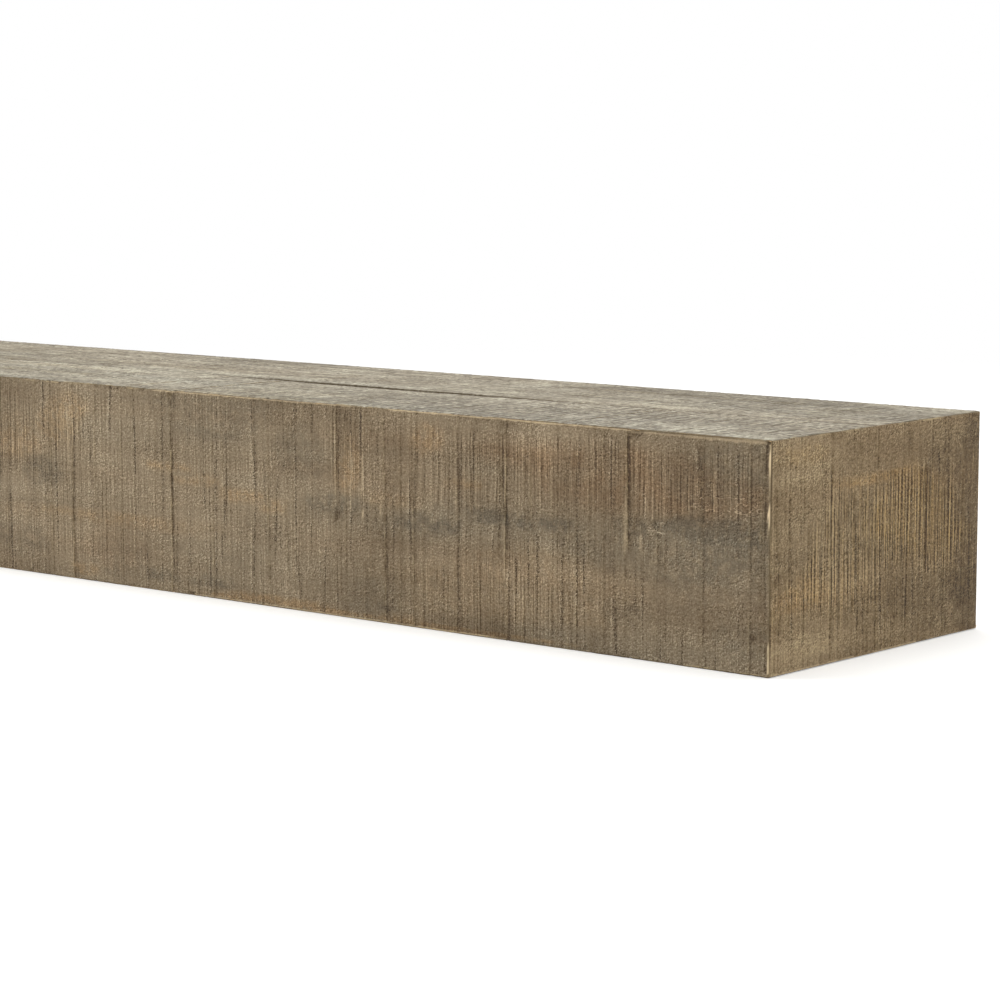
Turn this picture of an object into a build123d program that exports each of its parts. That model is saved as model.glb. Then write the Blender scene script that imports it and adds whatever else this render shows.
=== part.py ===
from build123d import *

import os
from math import radians, tan

# Mantel shelf: a hollow beam of rough-sawn pine boards, mitred at every outer edge and open at the back.
# +X runs along the shelf to the right-hand end, the front faces -Y, the wall is at +Y, and +Z is up.
# The origin is on the underside, in the middle of the shelf's length and depth.

# Driving dimensions, in millimetres and degrees
shelf_length = 1524.0
shelf_depth = 228.6
shelf_height = 139.7
board_thickness = 19.0
edge_radius = 1.5  # sanded on every outer edge once the box is glued up

top_joint_from_front = 108.0  # front face to the glue line between the two top boards
open_joint_length = 290.0  # stretch of that glue line which has opened
open_joint_width = 2.2
open_joint_depth = 12.0
open_joint_from_right = 405.0  # right-hand end to the middle of the open stretch

cleat_thickness = 19.0
cleat_height = 46.0  # on the wall side, down to the bevel's point
cleat_bevel = 45.0  # angle of the bevel from the level
cleat_end_gap = 40.0  # cleat's end to the inner face of the end board

# Outward directions of the box's faces
front = Vector(0, -1, 0)
back = Vector(0, 1, 0)
top = Vector(0, 0, 1)
bottom = Vector(0, 0, -1)
right = Vector(1, 0, 0)
left = Vector(-1, 0, 0)

half_size = Vector(shelf_length / 2, shelf_depth / 2, shelf_height / 2)
box_centre = Vector(0, 0, shelf_height / 2)


def on_box(direction):
    """The point of the box's surface that lies out from its centre along one or more face directions."""
    return box_centre + Vector(
        direction.X * half_size.X, direction.Y * half_size.Y, direction.Z * half_size.Z
    )


def face_plane(face):
    """The plane of one outer face, with its own X axis along the length of the board that lies there."""
    board_run = back if face in (right, left) else right
    return Plane(origin=on_box(face), x_dir=board_run, z_dir=face)


def mitre_plane(own_face, other_face):
    """The plane that halves the corner between two faces, facing the board on the first of them."""
    return Plane(origin=on_box(own_face + other_face), z_dir=own_face - other_face)


def seat_board(board, own_face, neighbours):
    """Eases a board's outer edges and mitres it against the boards on the neighbouring faces."""
    with board:
        add(sanded_box.part, mode=Mode.INTERSECT)
        for other_face in neighbours:
            split(bisect_by=mitre_plane(own_face, other_face), keep=Keep.TOP)


# The outside of the finished shelf, with its edges eased
with BuildPart() as sanded_box:
    with BuildSketch():
        Rectangle(shelf_length, shelf_depth)
    extrude(amount=shelf_height)
    fillet(sanded_box.edges(), radius=edge_radius)

# Front board, mitred on all four edges
with BuildPart() as front_board:
    with BuildSketch(face_plane(front)):
        Rectangle(shelf_length, shelf_height)
    extrude(amount=-board_thickness)
seat_board(front_board, front, [top, bottom, right, left])

# Top, edge-glued from two boards
joint_y = -shelf_depth / 2 + top_joint_from_front

with BuildPart() as top_front_board:
    with BuildSketch(face_plane(top)):
        with Locations((0, (joint_y - shelf_depth / 2) / 2)):
            Rectangle(shelf_length, top_joint_from_front)
    extrude(amount=-board_thickness)
seat_board(top_front_board, top, [front, right, left])

with BuildPart() as top_rear_board:
    with BuildSketch(face_plane(top)):
        with Locations((0, (joint_y + shelf_depth / 2) / 2)):
            Rectangle(shelf_length, shelf_depth - top_joint_from_front)
    extrude(amount=-board_thickness)
    # the opened glue line: the edge has shrunk back in a shallow arc, from the top face down
    joint_middle_x = shelf_length / 2 - open_joint_from_right
    with BuildSketch(face_plane(top)):
        with BuildLine():
            joint_left = (joint_middle_x - open_joint_length / 2, joint_y)
            joint_right = (joint_middle_x + open_joint_length / 2, joint_y)
            ThreePointArc(joint_left, (joint_middle_x, joint_y + open_joint_width), joint_right)
            Line(joint_right, joint_left)
        make_face()
    extrude(amount=-open_joint_depth, mode=Mode.SUBTRACT)
seat_board(top_rear_board, top, [right, left])

# Bottom board
with BuildPart() as bottom_board:
    with BuildSketch(face_plane(bottom)):
        Rectangle(shelf_length, shelf_depth)
    extrude(amount=-board_thickness)
seat_board(bottom_board, bottom, [front, right, left])

# End boards, which turn the front's corner and run back to the wall
end_boards = {}
for name, face in (("right_end_board", right), ("left_end_board", left)):
    with BuildPart() as end_board:
        with BuildSketch(face_plane(face)):
            Rectangle(shelf_depth, shelf_height)
        extrude(amount=-board_thickness)
    seat_board(end_board, face, [front, top, bottom])
    end_boards[name] = end_board

# Hanging cleat, glued under the top at the back: its bevelled lower edge drops behind a rail on the wall
cleat_length = shelf_length - 2 * (board_thickness + cleat_end_gap)
cleat_top = shelf_height - board_thickness
cleat_back = shelf_depth / 2
bevel_rise = cleat_thickness * tan(radians(cleat_bevel))

with BuildPart() as hanging_cleat:
    with BuildSketch(Plane.YZ.offset(-cleat_length / 2)):
        with BuildLine():
            Polyline(
                (cleat_back, cleat_top),
                (cleat_back, cleat_top - cleat_height),
                (cleat_back - cleat_thickness, cleat_top - cleat_height + bevel_rise),
                (cleat_back - cleat_thickness, cleat_top),
                close=True,
            )
        make_face()
    extrude(amount=cleat_length)

pieces = {
    "front_board": front_board,
    "top_front_board": top_front_board,
    "top_rear_board": top_rear_board,
    "bottom_board": bottom_board,
    **end_boards,
    "hanging_cleat": hanging_cleat,
}

os.makedirs("parts", exist_ok=True)
for name, piece in pieces.items():
    piece.part.label = name
    export_step(piece.part, f"parts/{name}.step")
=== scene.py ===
# Mantel shelf of reclaimed pine: rough-sawn boards mitred into a hollow box, and the cleat that it hangs by.
import bisect
import math
import random

import bmesh
import bpy
from mathutils import Matrix, Vector, noise


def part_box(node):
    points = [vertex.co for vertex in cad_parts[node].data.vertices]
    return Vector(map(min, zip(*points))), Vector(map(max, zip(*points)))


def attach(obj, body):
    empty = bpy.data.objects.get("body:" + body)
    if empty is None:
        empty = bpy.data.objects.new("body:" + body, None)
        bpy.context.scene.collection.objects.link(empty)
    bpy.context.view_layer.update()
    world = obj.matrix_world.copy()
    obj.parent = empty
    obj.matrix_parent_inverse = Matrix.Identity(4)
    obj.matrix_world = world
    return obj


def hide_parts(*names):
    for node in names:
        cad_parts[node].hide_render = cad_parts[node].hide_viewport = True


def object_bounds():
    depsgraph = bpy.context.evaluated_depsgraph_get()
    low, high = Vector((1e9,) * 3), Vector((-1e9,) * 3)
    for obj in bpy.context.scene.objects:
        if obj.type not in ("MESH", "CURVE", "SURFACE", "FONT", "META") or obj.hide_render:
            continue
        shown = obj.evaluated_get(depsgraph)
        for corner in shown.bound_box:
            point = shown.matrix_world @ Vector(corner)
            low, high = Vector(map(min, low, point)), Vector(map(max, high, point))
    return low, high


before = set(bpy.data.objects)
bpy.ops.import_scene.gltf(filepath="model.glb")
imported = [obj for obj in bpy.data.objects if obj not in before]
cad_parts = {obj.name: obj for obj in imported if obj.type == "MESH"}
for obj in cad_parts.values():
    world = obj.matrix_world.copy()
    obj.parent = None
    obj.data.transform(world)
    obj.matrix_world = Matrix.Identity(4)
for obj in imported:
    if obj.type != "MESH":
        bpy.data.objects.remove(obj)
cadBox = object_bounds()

mm = 0.001
cutTolerance = 1e-6  # metres within which a cut keeps to a corner that is there already
onArris = 0.01 * mm  # a vertex this near to an arris counts as on it
softAngle = 38  # degrees between two faces up to which their edge is shaded round
scene = bpy.context.scene
scene.view_settings.view_transform = "Standard"
shelfLow, shelfHigh = (Vector(corner) for corner in cadBox)


def tint(red, green, blue):
    # a colour as a paint chart gives it, 0 to 255, turned into the linear values that Blender mixes
    def linear(level):
        level /= 255
        return level / 12.92 if level <= 0.04045 else ((level + 0.055) / 1.055) ** 2.4
    return linear(red), linear(green), linear(blue), 1.0


def clamp(value, low=0.0, high=1.0):
    return max(low, min(high, value))


def smooth(value):
    value = clamp(value)
    return value * value * (3 - 2 * value)


def noiseAt(x, y, z):
    return noise.noise(Vector((x, y, z)))


def linked(name, data):
    made = bpy.data.objects.new(name, data)
    scene.collection.objects.link(made)
    return made


def offTheBench(bm, name):
    # the worked mesh as an object of the scene
    data = bpy.data.meshes.new(name)
    bm.to_mesh(data)
    bm.free()
    return linked(name, data)


# Camera, level with a standing viewer's hand, off the right-hand end
cameraView = {
    "place": (1.7700, -1.5437, 0.3264),
    "turn": 40.325,  # degrees, to the left of straight at the wall
    "tilt": -7.24,
    "roll": -0.051,
    "lens": 109.51,
    "sensor": 36.0,
}


def setCamera(view):
    data = bpy.data.cameras.new("camera")
    data.lens = view["lens"]
    data.sensor_width = view["sensor"]
    data.clip_end = 100
    cam = linked("camera", data)
    turn = Matrix.Rotation(math.radians(view["turn"]), 4, "Z")
    tilt = Matrix.Rotation(math.radians(90 + view["tilt"]), 4, "X")
    roll = Matrix.Rotation(math.radians(view["roll"]), 4, "Z")
    cam.matrix_world = Matrix.Translation(view["place"]) @ turn @ tilt @ roll
    scene.camera = cam
    print("camera: lens", view["lens"], "mm at", view["place"])


setCamera(cameraView)


def addNode(tree, kind, inputs=None, **settings):
    made = tree.nodes.new("ShaderNode" + kind)
    for key, value in settings.items():
        setattr(made, key, value)
    for socket, value in (inputs or {}).items():
        if isinstance(value, bpy.types.NodeSocket):
            tree.links.new(value, made.inputs[socket])
        else:
            made.inputs[socket].default_value = value
    return made


def math2(tree, operation, first, second, third=0.0, clamped=False):
    inputs = {0: first, 1: second, 2: third}
    return addNode(tree, "Math", inputs, operation=operation, use_clamp=clamped).outputs[0]


def product(tree, first, *others):
    for other in others:
        first = math2(tree, "MULTIPLY", first, other)
    return first


def onto(tree, base, layer, share, clamped=False):
    # the base, with so large a share of the layer added
    return math2(tree, "MULTIPLY_ADD", layer, share, base, clamped)


def centred(tree, value):
    return math2(tree, "SUBTRACT", value, 0.5)


def shifted(tree, place, offset):
    return addNode(tree, "VectorMath", {0: place, 1: offset}).outputs[0]


def mixColours(tree, factor, first, second, blend="MIX"):
    inputs = {0: factor, 6: first, 7: second}
    return addNode(tree, "Mix", inputs, data_type="RGBA", blend_type=blend).outputs[2]


def attribute(tree, name):
    return addNode(tree, "Attribute", attribute_name=name).outputs


def channels(tree, colour):
    return addNode(tree, "SeparateColor", {0: colour}).outputs


def newMaterial(name):
    material = bpy.data.materials.new(name)
    material.use_nodes = True
    tree = material.node_tree
    tree.nodes.clear()
    return material, tree


def coatWith(tree, inputs):
    shader = addNode(tree, "BsdfPrincipled", inputs)
    addNode(tree, "OutputMaterial", {"Surface": shader.outputs[0]})


def seenRays(tree):
    # 1 for what is seen, straight on, mirrored or through glass, and 0 for light that only falls on things
    path = addNode(tree, "LightPath").outputs
    seen = math2(tree, "MAXIMUM", path["Is Camera Ray"], path["Is Glossy Ray"])
    return math2(tree, "MAXIMUM", seen, path["Is Transmission Ray"])


# Studio: soft light from every side, more of it from above and from the left
studio = {
    "skyLevel": 0.46,
    "floorColour": tint(240, 240, 238),
    "floorSize": 30.0,
    "floorLift": 0.24,  # glow that brings the lit floor up to the white of the backdrop
    "floorFade": (1.1, 2.0),  # metres from the shelf over which the floor runs out into the backdrop
    "lamps": {
        "overhead": {"place": (0.2, 0.5, 2.6), "aim": (0.1, 0.0, 0.1), "size": (2.8, 2.0), "power": 62},
        "keyLeft": {"place": (-2.3, -2.2, 1.5), "aim": (0.2, 0.0, 0.07), "size": (1.0, 1.0), "power": 64},
        "fillRight": {"place": (2.9, -1.6, 1.3), "aim": (0.7, 0.0, 0.07), "size": (1.2, 1.2), "power": 22},
    },
}


def setSky(level):
    world = bpy.data.worlds.new("studio sky")
    scene.world = world
    world.use_nodes = True
    tree = world.node_tree
    tree.nodes.clear()
    strength = onto(tree, level, seenRays(tree), 1 - level)
    sky = addNode(tree, "Background", {"Color": (1, 1, 1, 1), "Strength": strength})
    addNode(tree, "OutputWorld", {"Surface": sky.outputs[0]})


def hangLamp(name, lamp):
    data = bpy.data.lights.new(name, "AREA")
    data.shape = "RECTANGLE"
    data.size, data.size_y = lamp["size"]
    data.energy = lamp["power"]
    made = linked(name, data)
    place = Vector(lamp["place"])
    aim = (Vector(lamp["aim"]) - place).to_track_quat("-Z", "Y")
    made.matrix_world = Matrix.Translation(place) @ aim.to_matrix().to_4x4()
    made.visible_camera = False


def layFloor(look):
    bm = bmesh.new()
    bmesh.ops.create_grid(bm, x_segments=1, y_segments=1, size=look["floorSize"] / 2)
    floor = offTheBench(bm, "floor")
    material, tree = newMaterial("pale floor")
    paper = addNode(tree, "BsdfDiffuse", {"Color": look["floorColour"]})
    lift = addNode(tree, "Emission", {"Color": (1, 1, 1, 1), "Strength": look["floorLift"]})
    lit = addNode(tree, "AddShader", {0: paper.outputs[0], 1: lift.outputs[0]})
    near = addNode(tree, "MixShader", {0: seenRays(tree), 1: paper.outputs[0], 2: lit.outputs[0]})
    place = addNode(tree, "TexCoord").outputs["Object"]
    away = addNode(tree, "VectorMath", {0: place}, operation="LENGTH").outputs["Value"]
    start, end = look["floorFade"]
    far = addNode(tree, "MapRange", {"Value": away, "From Min": start, "From Max": end})
    far.interpolation_type = "SMOOTHSTEP"
    gone = addNode(tree, "BsdfTransparent")
    faded = addNode(tree, "MixShader", {0: far.outputs[0], 1: near.outputs[0], 2: gone.outputs[0]})
    addNode(tree, "OutputMaterial", {"Surface": faded.outputs[0]})
    floor.data.materials.append(material)


setSky(studio["skyLevel"])
for lampName, lamp in studio["lamps"].items():
    hangLamp(lampName, lamp)
layFloor(studio)
print("studio:", len(studio["lamps"]), "lamps, sky and floor")


# Wood finishes. Each board lies on its own axes: along the grain, across it, and out of its face.
def grainAxes(tree, board):
    turn = Matrix((board["along"], board["across"], board["out"])).to_euler()
    place = addNode(tree, "TexCoord").outputs["Object"]
    inputs = {"Vector": place, "Rotation": turn, "Location": board["offset"]}
    return addNode(tree, "Mapping", inputs).outputs[0]


def stretched(tree, axes, along, across, out=None):
    out = across if out is None else out
    return addNode(tree, "Mapping", {"Vector": axes, "Scale": (along, across, out)}).outputs[0]


def fibres(tree, axes, along, across, detail=2.0, roughness=0.55, wavy=0.0, out=None):
    inputs = {
        "Vector": stretched(tree, axes, along, across, out),
        "Scale": 1.0,
        "Detail": detail,
        "Roughness": roughness,
        "Distortion": wavy,
    }
    return addNode(tree, "TexNoise", inputs).outputs["Fac"]


def spread(tree, value, low, high, toLow=0.0, toHigh=1.0):
    inputs = {"Value": value, "From Min": low, "From Max": high, "To Min": toLow, "To Max": toHigh}
    return addNode(tree, "MapRange", inputs).outputs[0]


def lineAt(tree, field, level, width):
    # a thin line along which the field has one level
    away = math2(tree, "ABSOLUTE", math2(tree, "SUBTRACT", field, level), 0)
    return spread(tree, away, 0, width, 1, 0)


def toneRamp(tree, value, stops):
    ramp = addNode(tree, "ValToRGB", {"Fac": value})
    elements = ramp.color_ramp.elements
    while len(elements) < len(stops):
        elements.new(0.5)
    for element, (position, colour) in zip(elements, stops):
        element.position = position
        element.color = colour
    return ramp.outputs[0]


def stippled(tree, axes, along, across):
    # crumbs of fibre, each darker or lighter than its neighbours
    inputs = {"Vector": stretched(tree, axes, along, across), "Scale": 1.0}
    crumbs = addNode(tree, "TexVoronoi", inputs)
    return channels(tree, crumbs.outputs["Color"])[0]


def corduroy(tree, axes, along, across, wander):
    # the fine, nearly even ribs that the blade's teeth leave
    inputs = {
        "Vector": stretched(tree, axes, along, across),
        "Scale": 1.0,
        "Distortion": wander,
        "Detail": 2.0,
        "Detail Scale": 0.4,
        "Detail Roughness": 0.6,
    }
    shape = {"wave_type": "BANDS", "bands_direction": "X", "wave_profile": "SAW"}
    return addNode(tree, "TexWave", inputs, **shape).outputs["Fac"]


# What lies unevenly on the wood: patches to the metre along and across, detail and roughness of each,
# the noise levels at which it starts and is full, and how much there is at either
coverings = {
    "nap": (30, 60, 3, 0.6, 0.38, 0.62, 0.6, 1.3),
    "grooves": (240, 230, 3, 0.55, 0.36, 0.56, 0.2, 1.1),
    "ribs": (11, 34, 3, 0.6, 0.4, 0.62, 0, 1),
    "ribLengths": (260, 30, 2, 0.55, 0.4, 0.62, 0, 1),
    "scores": (13, 30, 3, 0.6, 0.4, 0.62, 0, 1),
    "cutLengths": (46, 20, 3, 0.55, 0.4, 0.6, 0.2, 1.25),
    "cutBeads": (500, 330, 2, 0.55, 0.4, 0.6, 1.5, 0.3),
    "blush": (60, 40, 4, 0.65, 0.38, 0.6, 0.45, 1.1),
    "stains": (170, 130, 5, 0.75, 0.4, 0.56, 0.2, 1.3),
    "wearAndHighlight": (60, 120, 4, 0.55, 0.4, 0.66, 0, 1),
}


# the levels of a noise between which something grows from none to full
levels = {
    "crestHighlight": (0.01, 0.12),
    "furrowShade": (-0.01, -0.1),
    "frayed": (0.36, 0.64),
    "cutSide": (0, 0.02),
    "sawnQuietly": (-0.9, 0),
    "redness": (0.5, 0.72),
    "greyness": (0.48, 0.28),
    "specks": (0.66, 0.76),
    "roughness": (0.3, 0.7),
}


def covering(tree, axes, name, amounts=None):
    *size, begins, full, least, most = coverings[name]
    return spread(tree, fibres(tree, axes, *size), begins, full, *(amounts or (least, most)))


def stainedPine(board):
    finish = board["finish"]
    material, tree = newMaterial("stained pine " + board["name"])
    axes = grainAxes(tree, board)
    sawingAndPaintedLight, stain = attribute(tree, "sawingAndPaintedLight"), attribute(tree, "stain")
    # first channels: painted shadow of saw steps and chips, with dark rims of rubbed stretches; arris wear
    # with painted highlight of the steps' proud edges; glue line with painted shade of the joint gaps
    groove, wearAndHighlight, seam = channels(tree, sawingAndPaintedLight["Color"])
    charcoal, warm, pale = channels(tree, stain["Color"])
    ribbed, cracked = attribute(tree, "ribbed")["Fac"], attribute(tree, "cracked")["Fac"]

    # painted light and shade on the sides of the fibres: darker on the side away from the light, lighter on
    # the side towards it
    def paintedFlankShade(name, ways, size):
        there = fibres(tree, shifted(tree, ways, finish["nudge"]), *size)
        return math2(tree, "SUBTRACT", there, layers[name])

    # the saw's lines waver a little as they run
    waver = centred(tree, fibres(tree, axes, *finish["waverSize"]))
    waver = addNode(tree, "CombineXYZ", {0: product(tree, waver, finish["waver"])}).outputs[0]
    wavered = shifted(tree, axes, waver)

    # one tone from dark to light, built up from the layers
    layers = {}
    tone = 0.5
    for name, (*size, share) in finish["layers"].items():
        layers[name] = fibres(tree, axes, *size)
        tone = onto(tree, tone, centred(tree, layers[name]), share)
    uneven = covering(tree, axes, "nap")
    # painted light and shade on the sides of the fuzz and the grit
    for name, share in (("fuzz", finish["lean"]), ("grit", finish["gritSideShade"])):
        paintedNapShade = product(tree, paintedFlankShade(name, axes, finish["layers"][name][:-1]), uneven)
        tone = onto(tree, tone, paintedNapShade, share)
    along, across, share = finish["stipple"]
    crumbs = product(tree, centred(tree, stippled(tree, axes, along, across)), uneven)
    tone = onto(tree, tone, crumbs, share)
    # the painted shadow of the saw steps and painted shade in the chips darken the tone
    tone = onto(tree, tone, product(tree, groove, covering(tree, axes, "grooves")), -finish["groove"])
    tone = onto(tree, tone, pale, finish["pale"])

    # fine ribs at an even pitch, and uneven scores, each with a thin painted highlight on its crest and thin
    # painted shade in its furrow
    ribs = finish["ribs"]
    wave = corduroy(tree, wavered, ribs["along"], ribs["across"], ribs["wander"])
    strength = product(tree, covering(tree, axes, "ribs"), ribs["strength"])
    strength = math2(tree, "MAXIMUM", onto(tree, strength, ribbed, ribs["hand"]), 0)
    strength = product(tree, strength, covering(tree, axes, "ribLengths"))
    crestHighlight = product(tree, math2(tree, "POWER", wave, 3), strength)
    furrowShade = product(tree, math2(tree, "POWER", math2(tree, "SUBTRACT", 1, wave), 2.5), strength)

    scores = finish["scores"]
    size = (scores["along"], scores["across"], 2.5)
    layers["scores"] = fibres(tree, wavered, *size)
    flank = paintedFlankShade("scores", wavered, size)
    scored = covering(tree, axes, "scores", (scores["least"], scores["most"]))
    scored = math2(tree, "MAXIMUM", onto(tree, scored, ribbed, scores["hand"]), 0)
    crestHighlight = onto(tree, crestHighlight, spread(tree, flank, *levels["crestHighlight"]), scored)
    furrowShade = onto(tree, furrowShade, spread(tree, flank, *levels["furrowShade"]), scored)
    frayed = spread(tree, layers["fuzz"], *levels["frayed"], *finish["frayed"])
    crestHighlight = product(tree, crestHighlight, frayed)
    furrowShade = product(tree, furrowShade, math2(tree, "SUBTRACT", 2, frayed))
    tone = onto(tree, tone, furrowShade, -finish["furrowShade"])
    tone = onto(tree, tone, crestHighlight, finish["crestHighlight"])

    # uneven cuts, far apart: a painted highlight on the lip to the left of each, painted shadow on the step
    # to its right
    cuts = finish["cuts"]
    here, beside = (
        fibres(tree, place, cuts["along"], cuts["across"], 1.5, out=30)
        for place in (wavered, shifted(tree, wavered, cuts["facing"]))
    )
    rising = spread(tree, math2(tree, "SUBTRACT", beside, here), *levels["cutSide"])
    ragged = onto(tree, here, centred(tree, layers["fuzz"]), cuts["ragged"])
    kept = product(tree, covering(tree, axes, "cutLengths"), rising, covering(tree, axes, "cutBeads"))
    kept = product(tree, kept, spread(tree, ribbed, *levels["sawnQuietly"]))
    step = product(tree, lineAt(tree, ragged, 0.5, cuts["width"]), kept)
    lip = product(tree, lineAt(tree, ragged, 0.5 - 1.7 * cuts["width"], cuts["width"]), kept)
    tone = onto(tree, tone, step, -cuts["step"])
    tone = onto(tree, tone, lip, cuts["lip"])

    # hairline cracks along the grain, each a thin line of painted shade with a pale lip
    cracks = finish["cracks"]
    hair = centred(tree, fibres(tree, axes, *cracks["size"]))
    for level, width, share in (cracks["gap"], cracks["lip"]):
        tone = onto(tree, tone, product(tree, lineAt(tree, hair, level, width), cracked), share)
    colour = toneRamp(tree, tone, finish["tones"])

    # stains, which keep the surface's light and dark under them
    drift = fibres(tree, axes, *finish["drift"])
    red = product(tree, stain["Alpha"], covering(tree, axes, "blush"))
    red = onto(tree, red, spread(tree, drift, *levels["redness"]), finish["redness"], clamped=True)
    grey = product(tree, spread(tree, drift, *levels["greyness"]), finish["greyness"])
    broken = covering(tree, axes, "stains")
    charcoal = math2(tree, "MULTIPLY", charcoal, broken, clamped=True)
    warm = math2(tree, "MULTIPLY", warm, broken, clamped=True)
    for name, amount in {"red": red, "grey": grey, "charcoal": charcoal, "warm": warm}.items():
        colour = mixColours(tree, amount, colour, finish[name], "MULTIPLY")

    # what covers the stain: painted golden highlights on the crests, painted glints on specks of torn fibre,
    # worn arrises with the painted highlight of the saw steps' proud edges, bare wood, and the glue line
    # with painted shade of the joint gaps
    specks = spread(tree, fibres(tree, axes, *finish["speckSize"]), *levels["specks"])
    coats = {
        "goldHighlightColour": math2(tree, "MULTIPLY", crestHighlight, finish["goldHighlightShare"], clamped=True),
        "speck": product(tree, specks, finish["specks"]),
        "arris": math2(tree, "MULTIPLY", wearAndHighlight, covering(tree, axes, "wearAndHighlight"), clamped=True),
        "bare": sawingAndPaintedLight["Alpha"],
        "glueAndGapShade": seam,
    }
    for name, amount in coats.items():
        colour = mixColours(tree, amount, colour, finish[name])

    height = product(tree, layers["scores"], product(tree, scored, scores["relief"]))
    height = onto(tree, height, wave, strength)
    height = onto(tree, height, layers["fuzz"], finish["nap"])
    height = onto(tree, height, layers["strokes"], finish["strokeRelief"])
    height = onto(tree, height, step, -finish["cutRelief"])
    inputs = {"Strength": finish["bump"], "Distance": finish["relief"], "Height": height}
    coatWith(tree, {
        "Base Color": colour,
        "Roughness": spread(tree, layers["fuzz"], *levels["roughness"], *finish["roughness"]),
        "Normal": addNode(tree, "Bump", inputs).outputs[0],
        "Specular IOR Level": finish["specular"],
    })
    return material


bareLook = {
    "tones": [
        (0.15, tint(150, 116, 78)),
        (0.45, tint(196, 165, 122)),
        (0.65, tint(212, 184, 142)),
        (0.95, tint(226, 202, 164)),
    ],
    # how many to the metre along and across, detail, roughness, how wavy, and share of the tone
    "layers": {
        "bands": (2.0, 95, 4, 0.6, 0.8, 1.3),
        "streaks": (9, 700, 3, 0.55, 0.0, 0.7),
        "fuzz": (420, 900, 3, 0.55, 0.0, 0.4),
    },
    "bump": 0.35,
    "relief": 0.5 * mm,
    "roughness": (0.6, 0.8),
}


def barePine(board, bare):
    material, tree = newMaterial("bare pine " + board["name"])
    axes = grainAxes(tree, board)
    layers = {}
    tone = 0.5
    for name, (*size, share) in bare["layers"].items():
        layers[name] = fibres(tree, axes, *size)
        tone = onto(tree, tone, centred(tree, layers[name]), share)
    height = math2(tree, "ADD", layers["fuzz"], layers["streaks"])
    inputs = {"Strength": bare["bump"], "Distance": bare["relief"], "Height": height}
    coatWith(tree, {
        "Base Color": toneRamp(tree, tone, bare["tones"]),
        "Roughness": spread(tree, layers["fuzz"], *levels["roughness"], *bare["roughness"]),
        "Normal": addNode(tree, "Bump", inputs).outputs[0],
    })
    return material


# Sawing: what the mill left on a board's face, with the painted shadow and highlight of its steps
def sawMarks(board, length, rng):
    # at each mark the blade stepped in: the strip before stands proud, the strip after starts low and rises
    saw = board["saw"]
    marks = []

    def addMark(place, deep, width, wander, strong):
        marks.append({
            "place": place,
            "deep": deep,
            "width": width,
            "lean": rng.gauss(0, saw["lean"]),
            "wander": wander,
            "lift": rng.uniform(0, saw["lift"]),
            "rise": rng.uniform(0.3, 1.0) * saw["rise"],
            "seed": rng.uniform(0, 100),
            "strong": strong,
        })

    place = -length / 2 - saw["pitch"]
    while place < length / 2 + saw["pitch"]:
        deep = saw["depth"] * rng.uniform(0.1, 1.0) ** 1.5
        addMark(place, deep, saw["width"] * rng.uniform(0.6, 1.5), rng.uniform(0.1, 0.5) * mm, None)
        place += saw["pitch"] * rng.choice((0.4, 0.6, 0.8, 1.0, 1.3, 1.8)) * rng.uniform(0.85, 1.15)
    placed = list(saw["strong"])
    while placed[-1][0] * mm < length:
        placed.append((placed[-1][0] + rng.uniform(42, 105), rng.uniform(0.3, 0.9), 0, 230))
    for distance, strength, start, end in placed:
        place = length / 2 - distance * mm
        width = saw["width"] * rng.uniform(1.1, 1.6)
        addMark(place, saw["strongDepth"] * strength, width, rng.uniform(0.4, 0.8) * mm, (start, end))
    return sorted(marks, key=lambda mark: mark["place"])


def markLine(mark, y):
    # where a mark runs at a height: leaning, wandering and a little ragged
    seed = mark["seed"]
    slow = noiseAt(y * 40, seed, 0)
    quick = noiseAt(y * 170, seed, 1)
    return mark["place"] + mark["lean"] * y + mark["wander"] * slow + 0.5 * mark["wander"] * quick


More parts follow.
